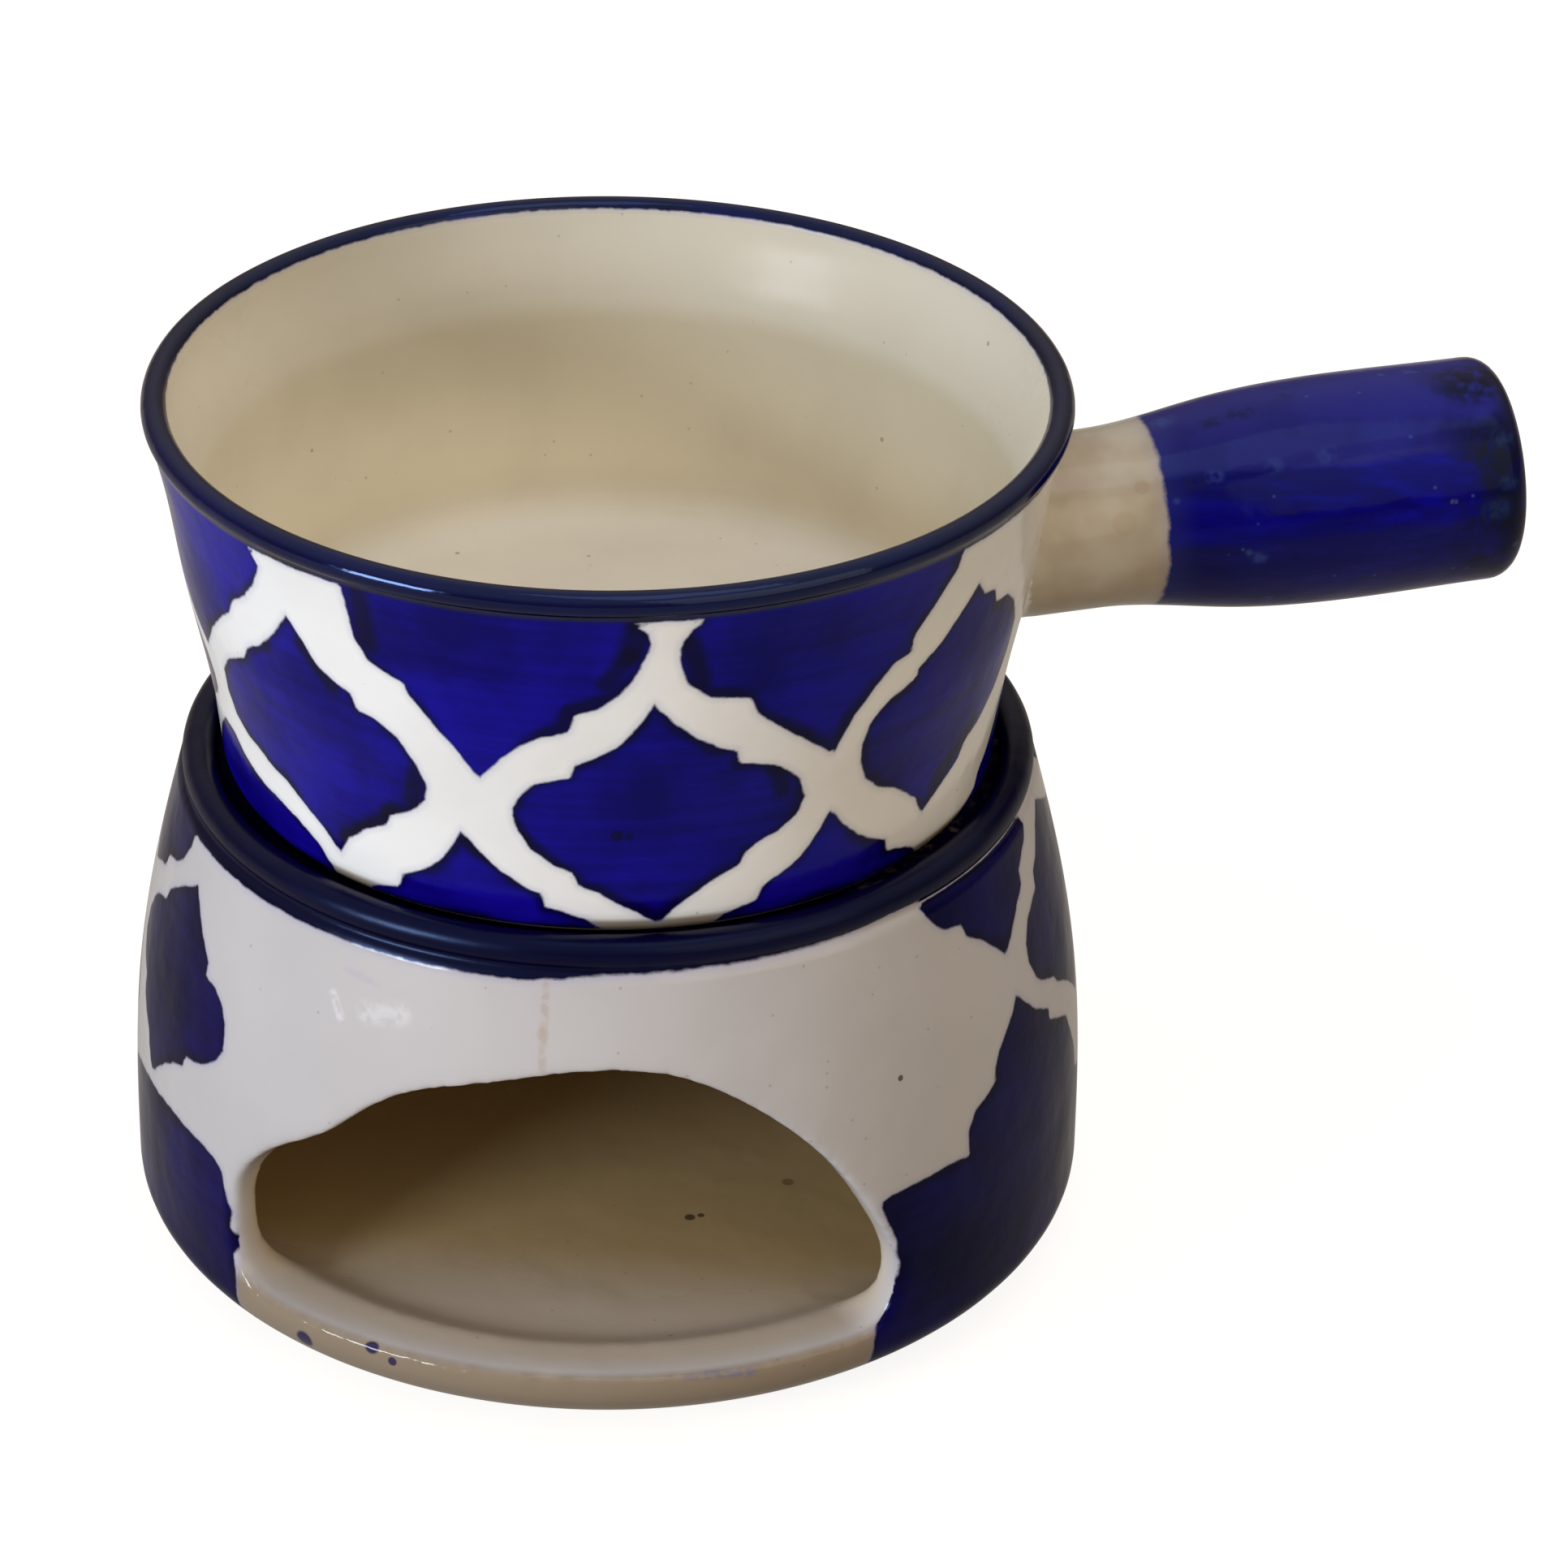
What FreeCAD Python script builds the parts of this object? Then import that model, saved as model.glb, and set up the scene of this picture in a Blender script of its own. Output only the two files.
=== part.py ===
import FreeCAD, Part
import math
import os

# A small glazed ceramic fondue set: a bowl with a stub handle, seated in the
# rim of a burner stand with one hand-cut arch. Millimetres, +Z up. The origin
# is the middle of the stand's flat base, and the arch faces -Y.

# Bowl, outside. Radii grow from the foot up, and each share is a height above
# the seat over the bowl's own height.
bowl_height = 49.0
bowl_base_radius = 47.0
foot_corner = 4.0
foot_width = 4.2
foot_recess = 2.6
waist_share = 0.294
waist_widening = 1.3
flare_share = 0.547
flare_widening = 3.8
upper_share = 0.804
upper_widening = 5.8

# Bowl, lip and inside
lip_widening = 8.0
lip_roll = 1.55
lip_meeting_angle = 55.0
bowl_wall = 3.2
bowl_floor = 5.1
bowl_corner = 5.0

# Handle, cast in one piece with the bowl. Lengths run out from the flare, and
# its line meets the bowl's axis at a share of the bowl's height.
handle_turn = 17.0
handle_tilt = 3.2
handle_share = 0.435
handle_offset = 1.9
neck_length = 9.0
neck_radius = 11.0
grip_taper = 16.0
grip_radius = 13.0
handle_length = 61.4
end_radius = 13.8
end_corner = 3.2
root_round = 1.8

# Burner stand, rim and seat
stand_height = 66.2
rim_roll = 2.1
rim_meeting_angle = 40.0
seat_depth = 2.6
seat_clearance = 0.7
ledge_width = 7.7
ledge_thickness = 4.0
ledge_corner = 3.0

# Burner stand, outside. Radii grow from the rim down, and each share is a
# height above the table over the stand's own height. The base curves in below.
collar_drop = 4.4
collar_widening = 0.5
slope_share = 0.748
slope_widening = 3.6
shoulder_share = 0.498
shoulder_widening = 6.4
belly_widening = 7.3
base_width = 22.0
base_rise = 8.8

# Burner stand, inside
stand_wall = 4.2
stand_floor = 9.0
floor_corner = 9.0

# Hand-cut arch in the stand's front. The knife pointed at the stand's axis.
arch_half_angle = 42.5
arch_sill = 10.8
arch_share = 0.770
arch_foot_corner = 6.0
arch_edge_round = 1.3
# Points along the arch from the left foot to the right one, as shares of its
# half angle and of its rise above the sill. The left shoulder has a kink.
arch_line = [
    (-1.00, 0.32),
    (-0.93, 0.455),
    (-0.81, 0.563),
    (-0.673, 0.657),
    (-0.556, 0.767),
    (-0.40, 0.871),
    (-0.174, 0.94),
    (0.17, 1.00),
    (0.362, 0.972),
    (0.556, 0.866),
    (0.804, 0.615),
    (0.962, 0.337),
    (1.00, 0.22),
]

# What follows from the sizes above
seat_height = stand_height - seat_depth
lip_height = seat_height + bowl_height
waist_radius = bowl_base_radius + waist_widening
flare_radius = bowl_base_radius + flare_widening
upper_radius = bowl_base_radius + upper_widening
lip_radius = bowl_base_radius + lip_widening
waist_height = seat_height + waist_share * bowl_height
flare_height = seat_height + flare_share * bowl_height
upper_height = seat_height + upper_share * bowl_height
handle_height = seat_height + handle_share * bowl_height
seat_radius = bowl_base_radius + seat_clearance
rim_radius = seat_radius + 2 * rim_roll
collar_radius = rim_radius + collar_widening
slope_radius = rim_radius + slope_widening
shoulder_radius = rim_radius + shoulder_widening
belly_radius = rim_radius + belly_widening
slope_height = slope_share * stand_height
shoulder_height = shoulder_share * stand_height
arch_height = arch_share * stand_height
arch_plane = belly_radius * math.cos(math.radians(arch_half_angle))

# How near an edge lies to both bodies that made it
touching = 0.001

up = FreeCAD.Vector(0, 0, 1)
outward = FreeCAD.Vector(1, 0, 0)


def point(radius, height):
    return FreeCAD.Vector(radius, 0, height)


def line(start, end):
    return Part.LineSegment(start, end).toShape()


def arc(centre_radius, centre_height, size, start_angle, end_angle):
    """An arc in the section plane with its two ends. Angles are above the horizontal."""
    spots = []
    for angle in (start_angle, 0.5 * (start_angle + end_angle), end_angle):
        turn = math.radians(angle)
        spots.append(point(centre_radius + size * math.cos(turn), centre_height + size * math.sin(turn)))
    return Part.Arc(spots[0], spots[1], spots[2]).toShape(), spots[0], spots[2]


def smooth_curve(points, first_direction=None, last_direction=None):
    """A smooth curve through the points. It leaves and arrives in a direction where one is given."""
    directions = [point(0, 0)] * len(points)
    held = [False] * len(points)
    if first_direction:
        directions[0] = first_direction
        held[0] = True
    if last_direction:
        directions[-1] = last_direction
        held[-1] = True
    curve = Part.BSplineCurve()
    curve.interpolate(Points=points, Tangents=directions, TangentFlags=held, Scale=False)
    return curve.toShape()


def turned(edges):
    """The solid that a closed section sweeps in one turn about Z."""
    return Part.Face(Part.Wire(edges)).revolve(point(0, 0), up, 360)


def meeting_edges(solid, first, second):
    """The edges of a solid that lie on the skins of both bodies that made it."""
    found = []
    for edge in solid.Edges:
        middle = edge.valueAt(0.5 * (edge.FirstParameter + edge.LastParameter))
        spot = Part.Vertex(middle)
        gaps = [spot.distToShape(body.Shells[0])[0] for body in (first, second)]
        if max(gaps) < touching:
            found.append(edge)
    return found


def stand_body():
    """The stand's section, up the outside, over the rim and down the inside, turned about Z."""
    base_start = point(belly_radius - base_width, 0)
    base_end = point(belly_radius, base_rise)
    bulge = math.cos(math.radians(45))
    base_middle = point(base_start.x + bulge * base_width, (1 - bulge) * base_rise)
    base = smooth_curve([base_start, base_middle, base_end], outward, up)
    collar = point(collar_radius, stand_height - collar_drop)
    outside = smooth_curve([
        base_end,
        point(shoulder_radius, shoulder_height),
        point(slope_radius, slope_height),
        collar,
    ], up)
    roll, roll_start, roll_end = arc(
        rim_radius - rim_roll, stand_height - rim_roll, rim_roll, -rim_meeting_angle, 180)

    seat_corner = point(seat_radius, seat_height)
    hole_top = point(seat_radius - ledge_width, seat_height)
    hole_bottom = point(seat_radius - ledge_width, seat_height - ledge_thickness)
    under, under_start, under_end = arc(
        collar_radius - stand_wall - ledge_corner,
        seat_height - ledge_thickness - ledge_corner,
        ledge_corner, 90, 0)

    inner, inner_start, inner_end = arc(
        belly_radius - stand_wall - floor_corner, stand_floor + floor_corner, floor_corner, 0, -90)
    inside = smooth_curve([
        under_end,
        point(slope_radius - stand_wall, slope_height),
        point(shoulder_radius - stand_wall, shoulder_height),
        inner_start,
    ], -up, -up)

    axis_low = point(0, 0)
    axis_high = point(0, stand_floor)
    return turned([
        line(axis_low, base_start),
        base,
        outside,
        line(collar, roll_start),
        roll,
        line(roll_end, seat_corner),
        line(seat_corner, hole_top),
        line(hole_top, hole_bottom),
        line(hole_bottom, under_start),
        under,
        inside,
        inner,
        line(inner_end, axis_high),
        line(axis_high, axis_low),
    ])


def arch_outline(distance):
    """The arch's outline as it stands on a plane at this distance in front of the axis."""
    rise = arch_height - arch_sill
    crown = []
    for turn, share in arch_line:
        across = arch_plane * math.tan(math.radians(turn * arch_half_angle))
        crown.append(point(across, arch_sill + share * rise))
    left = crown[0].x
    right = crown[-1].x
    left_corner, left_sill, left_foot = arc(
        left + arch_foot_corner, arch_sill + arch_foot_corner, arch_foot_corner, 270, 180)
    right_corner, right_foot, right_sill = arc(
        right - arch_foot_corner, arch_sill + arch_foot_corner, arch_foot_corner, 0, -90)
    outline = Part.Wire([
        smooth_curve([left_foot] + crown + [right_foot], up, -up),
        right_corner,
        line(right_sill, left_sill),
        left_corner,
    ])
    spread = FreeCAD.Matrix()
    spread.scale(distance / arch_plane, 1, 1)
    outline = outline.transformGeometry(spread)
    outline.translate(FreeCAD.Vector(0, -distance, 0))
    return outline


def arch_block():
    """A block with the arch's outline that spreads from near the axis out through the front wall."""
    inner = arch_outline(0.5 * arch_plane)
    outer = arch_outline(2 * arch_plane)
    return Part.makeLoft([inner, outer], True, True)


def burner_stand():
    """The stand with its arch cut, and the cut's edges wiped round."""
    body = stand_body()
    block = arch_block()
    stand = body.cut(block)
    rounding = min(arch_edge_round, stand_wall / 3)
    return stand.makeFillet(rounding, meeting_edges(stand, body, block))


def bowl_blank():
    """The bowl before it is hollowed: foot, wall and the outer half of the lip."""
    corner, corner_start, corner_end = arc(
        bowl_base_radius - foot_corner, seat_height + foot_corner, foot_corner, -90, 0)
    roll, roll_start, roll_end = arc(
        lip_radius - lip_roll, lip_height - lip_roll, lip_roll, -lip_meeting_angle, 90)
    outside = smooth_curve([
        corner_end,
        point(waist_radius, waist_height),
        point(flare_radius, flare_height),
        point(upper_radius, upper_height),
        roll_start,
    ])
    axis_low = point(0, seat_height)
    axis_high = point(0, lip_height)
    return turned([
        line(axis_low, corner_start),
        corner,
        outside,
        roll,
        line(roll_end, axis_high),
        line(axis_high, axis_low),
    ])


def bowl_hollow():
    """The space inside the bowl, with the inner half of the lip's roll as its mouth."""
    roll, roll_start, roll_end = arc(lip_radius - lip_roll, lip_height - lip_roll, lip_roll, 90, 180)
    floor_height = seat_height + foot_recess + bowl_floor
    corner, corner_start, corner_end = arc(
        waist_radius - bowl_wall - bowl_corner, floor_height + bowl_corner, bowl_corner, 0, -90)
    inside = smooth_curve([
        roll_end,
        point(upper_radius - bowl_wall, upper_height),
        point(flare_radius - bowl_wall, flare_height),
        corner_start,
    ], -up, -up)
    axis_low = point(0, floor_height)
    axis_high = point(0, lip_height)
    return turned([
        line(axis_high, roll_start),
        roll,
        inside,
        corner,
        line(corner_end, axis_low),
        line(axis_low, axis_high),
    ])


def foot_hollow():
    """The shallow recess under the bowl, with a sloping side, that leaves a foot ring."""
    mouth = bowl_base_radius - foot_corner - foot_width
    recess = Part.makeCone(mouth, mouth - 0.5 * foot_recess, foot_recess)
    recess.translate(point(0, seat_height))
    return recess


def handle():
    """The handle, turned about its own line: a narrow neck that widens to a blunt rounded grip."""
    reach = flare_radius + handle_length
    root = point(0, bowl_base_radius)
    root_side = point(neck_radius, bowl_base_radius)
    neck_side = point(neck_radius, flare_radius + neck_length)
    corner, corner_start, corner_tip = arc(
        end_radius - end_corner, reach - end_corner, end_corner, 0, 90)
    grip = smooth_curve([
        neck_side,
        point(grip_radius, flare_radius + neck_length + grip_taper),
        corner_start,
    ], up, up)
    tip = point(0, reach)
    solid = turned([
        line(root, root_side),
        line(root_side, neck_side),
        grip,
        corner,
        line(corner_tip, tip),
        line(tip, root),
    ])
    solid.rotate(point(0, 0), FreeCAD.Vector(0, 1, 0), 90 - handle_tilt)
    solid.translate(FreeCAD.Vector(0, handle_offset, handle_height))
    solid.rotate(point(0, 0), up, handle_turn)
    return solid


def fondue_bowl():
    """The bowl and its handle as one casting, with a small round at the handle's root."""
    blank = bowl_blank()
    grip = handle()
    joined = blank.fuse(grip)
    joined = joined.makeFillet(root_round, meeting_edges(joined, blank, grip))
    return joined.cut(bowl_hollow()).cut(foot_hollow())


os.makedirs("parts", exist_ok=True)
for name, build in (("burner_stand", burner_stand), ("fondue_bowl", fondue_bowl)):
    shape = build()
    solid = shape.Solids[0]
    print(name, "solids", len(shape.Solids), "valid", solid.isValid(), "volume", round(solid.Volume))
    solid.exportStep(os.path.join("parts", name + ".step"))
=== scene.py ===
import math

import bmesh
import bpy
import numpy as np
from mathutils import Matrix, Vector


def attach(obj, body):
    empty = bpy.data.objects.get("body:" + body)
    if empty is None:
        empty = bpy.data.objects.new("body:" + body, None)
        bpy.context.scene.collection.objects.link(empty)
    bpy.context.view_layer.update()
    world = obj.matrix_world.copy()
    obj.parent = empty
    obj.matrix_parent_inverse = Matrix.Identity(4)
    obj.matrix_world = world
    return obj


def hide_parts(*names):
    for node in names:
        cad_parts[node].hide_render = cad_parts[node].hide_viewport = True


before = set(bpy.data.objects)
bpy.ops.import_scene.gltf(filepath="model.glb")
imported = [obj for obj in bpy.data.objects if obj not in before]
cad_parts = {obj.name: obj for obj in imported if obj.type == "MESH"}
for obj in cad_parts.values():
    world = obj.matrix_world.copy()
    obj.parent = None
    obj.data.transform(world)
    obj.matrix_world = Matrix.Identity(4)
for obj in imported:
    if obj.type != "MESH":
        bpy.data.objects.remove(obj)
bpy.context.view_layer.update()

# A small hand-painted fondue set: a bowl with a stub handle, seated in the rim
# of a burner stand. Sizes are in millimetres and become metres in each mesh.
MM = 0.001

# Bowl
seat_height = 63.6
lip_height = 112.6
bowl_base_radius = 47.0
foot_corner = 4.0
foot_width = 4.2
foot_recess = 2.6
waist = (48.3, 78.0)
flare = (50.8, 90.4)
upper = (52.8, 103.0)
lip_radius = 55.0
lip_roll = 1.55
lip_meeting_angle = 55.0
bowl_wall = 3.2
bowl_floor = 5.1
bowl_corner = 5.0

# Handle
handle_turn = 17.0
handle_tilt = 3.2
handle_height = 84.9
handle_offset = 1.9
handle_root = 47.0
neck_radius = 11.0
neck_end = 59.8
grip_middle = (13.0, 75.8)
handle_reach = 112.2
end_radius = 13.8
end_corner = 3.2

# Burner stand
stand_height = 66.2
rim_roll = 2.1
rim_radius = 51.9
rim_meeting_angle = 40.0
seat_radius = 47.7
ledge_hole = 40.0
ledge_thickness = 4.0
ledge_corner = 3.0
collar = (52.4, 61.8)
slope = (55.5, 49.5)
shoulder = (58.3, 33.0)
belly_radius = 59.2
base_width = 22.0
base_rise = 8.8
stand_wall = 4.2
stand_floor = 9.0
floor_corner = 9.0

# Arch cut through the stand's front, towards its axis. The line holds shares
# of the arch's half angle and of its rise above the sill.
arch_half_angle = 42.5
arch_sill = 10.8
arch_rise = 40.2
arch_foot_corner = 6.0
arch_line = [
    (-1.00, 0.32), (-0.93, 0.455), (-0.81, 0.563), (-0.673, 0.657), (-0.556, 0.767), (-0.40, 0.871),
    (-0.174, 0.94), (0.17, 1.00), (0.362, 0.972), (0.556, 0.866), (0.804, 0.615), (0.962, 0.337),
    (1.00, 0.22),
]
arch_plane = belly_radius * math.cos(math.radians(arch_half_angle))

# The arch is cut between these distances in front of the axis
cut_start = 33.0
cut_end = 66.0
cut_step = 0.9

# Edges of the painted areas
lip_paint = 109.1
foot_paint = 64.8
grip_paint = 67.2
neck_clearing = 16.5
rim_paint_reach = 42.0
unpainted = -6.0

# Steps of each turned mesh round its line
pot_steps = 400
handle_steps = 120

# Joins, in metres: what is merged in a seam and at a cut, and the longest edge left there
seam_gap = 0.00001
sliver = 0.00016
longest_edge = 0.0006


# Section lines

def arc(radius, height, size, start, end, steps):
    """Points along an arc in the section plane, angles above the horizontal."""
    turns = np.radians(np.linspace(start, end, steps + 1))
    return [(radius + size * math.cos(t), height + size * math.sin(t)) for t in turns]


def straight(start, end, steps):
    """Points from one spot to another, without the first."""
    first = np.array(start)
    run = np.array(end) - first
    return [tuple(first + run * i / steps) for i in range(1, steps + 1)]


def flowing(knots, first=None, last=None, step=0.8):
    """Points a step apart on the smooth line through the knots, leaving and arriving as told."""
    knots = np.array(knots, float)
    gaps = np.linalg.norm(np.diff(knots, axis=0), axis=1)
    count = len(knots)
    left = np.zeros((count, count))
    right = np.zeros((count, 2))
    for i in range(1, count - 1):
        a, b = gaps[i - 1], gaps[i]
        left[i, i - 1:i + 2] = 1 / a, 2 / a + 2 / b, 1 / b
        right[i] = 3 * ((knots[i] - knots[i - 1]) / a ** 2 + (knots[i + 1] - knots[i]) / b ** 2)
    for row, near, gap, held in ((0, 1, gaps[0], first), (count - 1, count - 2, gaps[-1], last)):
        left[row, row] = 1 if held else 2
        left[row, near] = 0 if held else 1
        spread = (knots[near] - knots[row]) * (1 if row == 0 else -1)
        right[row] = held if held else 3 * spread / gap
    slopes = np.linalg.solve(left, right)
    found = []
    for i, gap in enumerate(gaps):
        pieces = max(2, round(gap / step))
        for t in np.arange(pieces) / pieces:
            spot = knots[i] * (2 * t ** 3 - 3 * t ** 2 + 1) + knots[i + 1] * (3 * t ** 2 - 2 * t ** 3)
            spot = spot + gap * (slopes[i] * (t ** 3 - 2 * t ** 2 + t) + slopes[i + 1] * (t ** 3 - t ** 2))
            found.append(tuple(spot))
    return found + [tuple(knots[-1])]


def chain(*runs):
    """One line out of several runs of points, with repeated spots dropped."""
    line = []
    for run in runs:
        for spot in run:
            if not line or math.dist(line[-1], spot) > 0.02:
                line.append(spot)
    return line


bowl_outside = flowing(
    [(bowl_base_radius, seat_height + foot_corner), waist, flare, upper,
     arc(lip_radius - lip_roll, lip_height - lip_roll, lip_roll, -lip_meeting_angle, 0, 1)[0]])
stand_outside = flowing([(belly_radius, base_rise), shoulder, slope, collar], first=(0, 1))
base_bulge = math.cos(math.radians(45))
base_line = flowing(
    [(belly_radius - base_width, 0),
     (belly_radius - (1 - base_bulge) * base_width, (1 - base_bulge) * base_rise),
     (belly_radius, base_rise)],
    first=(1, 0), last=(0, 1))


def bowl_section():
    """Half of the bowl's outline, from the recess under its floor round to the floor's middle."""
    foot_inside = bowl_base_radius - foot_corner - foot_width
    floor_height = seat_height + foot_recess + bowl_floor
    corner = arc(
        waist[0] - bowl_wall - bowl_corner, floor_height + bowl_corner, bowl_corner, 0, -90, 8)
    inside = flowing([
        (lip_radius - 2 * lip_roll, lip_height - lip_roll),
        (upper[0] - bowl_wall, upper[1]),
        (flare[0] - bowl_wall, flare[1]),
        corner[0],
    ], first=(0, -1), last=(0, -1), step=1.1)
    recess = (foot_inside - 0.5 * foot_recess, seat_height + foot_recess)
    foot = arc(bowl_base_radius - foot_corner, seat_height + foot_corner, foot_corner, -90, 0, 9)
    return chain(
        [(0, recess[1])],
        straight((0, recess[1]), recess, 10),
        straight(recess, (foot_inside, seat_height), 3),
        straight((foot_inside, seat_height), foot[0], 4),
        foot,
        bowl_outside,
        arc(lip_radius - lip_roll, lip_height - lip_roll, lip_roll, -lip_meeting_angle, 180, 18),
        inside,
        corner,
        straight(corner[-1], (0, floor_height), 14))


def stand_section():
    """Half of the stand's outline, from the middle of its underside round to its floor's middle."""
    roll = arc(rim_radius - rim_roll, stand_height - rim_roll, rim_roll, -rim_meeting_angle, 180, 18)
    hole_low = (ledge_hole, seat_height - ledge_thickness)
    under = arc(
        collar[0] - stand_wall - ledge_corner, hole_low[1] - ledge_corner, ledge_corner, 90, 0, 6)
    inner = arc(
        belly_radius - stand_wall - floor_corner, stand_floor + floor_corner, floor_corner, 0, -90, 12)
    inside = flowing([
        under[-1],
        (slope[0] - stand_wall, slope[1]),
        (shoulder[0] - stand_wall, shoulder[1]),
        inner[0],
    ], first=(0, -1), last=(0, -1), step=1.0)
    return chain(
        [(0, 0)],
        straight((0, 0), base_line[0], 9),
        base_line,
        stand_outside,
        straight(collar, roll[0], 2),
        roll,
        straight(roll[-1], (seat_radius, seat_height), 1),
        straight((seat_radius, seat_height), (ledge_hole, seat_height), 4),
        straight((ledge_hole, seat_height), hole_low, 3),
        straight(hole_low, under[0], 4),
        under,
        inside,
        inner,
        straight(inner[-1], (0, stand_floor), 16))


def handle_section():
    """Half of the handle's outline, as (distance from its line, distance along it)."""
    corner = arc(end_radius - end_corner, handle_reach - end_corner, end_corner, 0, 90, 8)
    grip = flowing([(neck_radius, neck_end), grip_middle, corner[0]], first=(0, 1), last=(0, 1), step=1.0)
    return chain(
        [(0, handle_root)],
        straight((0, handle_root), (neck_radius, handle_root), 8),
        straight((neck_radius, handle_root), (neck_radius, neck_end), 14),
        grip,
        corner,
        straight(corner[-1], (0, handle_reach), 12))


# Meshes

def spun(section, steps):
    """The closed skin that a section line sweeps in one turn about Z."""
    mesh = bmesh.new()
    rail = [mesh.verts.new((radius * MM, 0, height * MM)) for radius, height in section]
    links = [mesh.edges.new(pair) for pair in zip(rail, rail[1:])]
    sectors = 8
    bmesh.ops.spin(
        mesh, geom=rail + links, cent=(0, 0, 0), axis=(0, 0, 1), angle=math.tau / sectors,
        steps=steps // sectors, use_duplicate=False)
    while sectors > 1:
        copied = bmesh.ops.duplicate(mesh, geom=mesh.verts[:] + mesh.edges[:] + mesh.faces[:])["geom"]
        bmesh.ops.rotate(
            mesh, verts=[part for part in copied if isinstance(part, bmesh.types.BMVert)],
            cent=(0, 0, 0), matrix=Matrix.Rotation(math.tau / sectors, 3, "Z"))
        sectors //= 2
    bmesh.ops.remove_doubles(mesh, verts=mesh.verts, dist=seam_gap)
    bmesh.ops.recalc_face_normals(mesh, faces=mesh.faces)
    return mesh


def placed(mesh, name):
    """A bmesh as an object at the origin."""
    data = bpy.data.meshes.new(name)
    mesh.to_mesh(data)
    mesh.free()
    made = bpy.data.objects.new(name, data)
    bpy.context.scene.collection.objects.link(made)
    return made


def merged(target, tool, how):
    """Joins the tool to the target or cuts it out, and removes the tool."""
    change = target.modifiers.new("join", "BOOLEAN")
    change.operation = how
    change.solver = "MANIFOLD"
    change.object = tool
    bpy.context.view_layer.objects.active = target
    bpy.ops.object.modifier_apply(modifier=change.name)
    bpy.data.objects.remove(tool)


def width_at(line, height):
    """Radius of an outside line at a height, in millimetres."""
    heights = [spot[1] for spot in line]
    radii = [spot[0] for spot in line]
    return np.interp(height, heights, radii)


def handle_spots(spots):
    """Each spot's distance from the handle's line, its distance along it and its rise above it."""
    back = np.array(handle_place.inverted())
    local = spots @ back[:3, :3].T + back[:3, 3] / MM
    return np.hypot(local[:, 0], local[:, 1]), local[:, 2], -local[:, 0]


handle_place = (
    Matrix.Rotation(math.radians(handle_turn), 4, "Z")
    @ Matrix.Translation((0, handle_offset * MM, handle_height * MM))
    @ Matrix.Rotation(math.radians(90 - handle_tilt), 4, "Y"))


def spots_of(mesh):
    """Every vertex's place, in millimetres."""
    return np.array([v.co for v in mesh.verts]) / MM


def soften(mesh, near, rounds):
    """Merges the slivers of a join, splits its long edges and eases it round."""
    def close_by():
        mesh.verts.ensure_lookup_table()
        mesh.verts.index_update()
        return near(spots_of(mesh))

    bmesh.ops.remove_doubles(
        mesh, verts=[mesh.verts[i] for i in np.flatnonzero(close_by())], dist=sliver)
    close = close_by()
    edges = [e for e in mesh.edges if all(close[v.index] for v in e.verts)]
    edges = [e for e in edges if e.calc_length() > longest_edge]
    bmesh.ops.subdivide_edges(mesh, edges=edges, cuts=1, use_grid_fill=True)
    close = close_by()
    faces = [f for f in mesh.faces if len(f.verts) > 3 and any(close[v.index] for v in f.verts)]
    bmesh.ops.triangulate(mesh, faces=faces)
    soft = [mesh.verts[i] for i in np.flatnonzero(close_by())]
    for _ in range(rounds):
        bmesh.ops.smooth_vert(
            mesh, verts=soft, factor=0.5, use_axis_x=True, use_axis_y=True, use_axis_z=True)


def arch_outline():
    """The arch's outline on its plane in front of the axis, from the left of the sill round."""
    crown = [
        (arch_plane * math.tan(math.radians(turn * arch_half_angle)), arch_sill + share * arch_rise)
        for turn, share in arch_line]
    left, right = crown[0][0], crown[-1][0]
    left_foot = arc(left + arch_foot_corner, arch_sill + arch_foot_corner, arch_foot_corner, 270, 180, 8)
    right_foot = arc(right - arch_foot_corner, arch_sill + arch_foot_corner, arch_foot_corner, 0, -90, 8)
    over = flowing([left_foot[-1]] + crown + [right_foot[0]], first=(0, 1), last=(0, -1), step=0.8)
    return chain(left_foot, over, right_foot, straight(right_foot[-1], left_foot[0], 90)[:-1])


def arch_tool():
    """A block with the arch's outline that spreads from near the axis out through the front wall."""
    mesh = bmesh.new()
    distance = cut_start
    ring = [
        mesh.verts.new((x * MM * distance / arch_plane, -distance * MM, z * MM))
        for x, z in arch_outline()]
    links = [mesh.edges.new(pair) for pair in zip(ring, ring[1:] + ring[:1])]
    while distance < cut_end:
        grown = bmesh.ops.extrude_edge_only(mesh, edges=links)["geom"]
        ring = [part for part in grown if isinstance(part, bmesh.types.BMVert)]
        fresh = set(ring)
        links = [
            part for part in grown
            if isinstance(part, bmesh.types.BMEdge) and all(v in fresh for v in part.verts)]
        bmesh.ops.translate(mesh, verts=ring, vec=(0, -cut_step * MM, 0))
        bmesh.ops.scale(mesh, verts=ring, vec=((distance + cut_step) / distance, 1, 1))
        distance += cut_step
    bmesh.ops.holes_fill(mesh, edges=mesh.edges, sides=0)
    bmesh.ops.recalc_face_normals(mesh, faces=mesh.faces)
    return placed(mesh, "arch_tool")


def outline_distance(outline, spots):
    """How far each spot lies from a closed outline, and whether it lies inside."""
    starts = np.array(outline)
    ends = np.roll(starts, -1, axis=0)
    along = ends - starts
    nearest = np.full(len(spots), 1e9)
    inside = np.zeros(len(spots), bool)
    for start, end, run in zip(starts, ends, along):
        to = spots - start
        share = np.clip((to @ run) / (run @ run), 0, 1)
        nearest = np.minimum(nearest, np.hypot(*(to - share[:, None] * run).T))
        if start[1] != end[1]:
            crossed = (start[1] > spots[:, 1]) != (end[1] > spots[:, 1])
            inside ^= crossed & (to[:, 0] < to[:, 1] * run[0] / run[1])
    return nearest, inside


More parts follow.
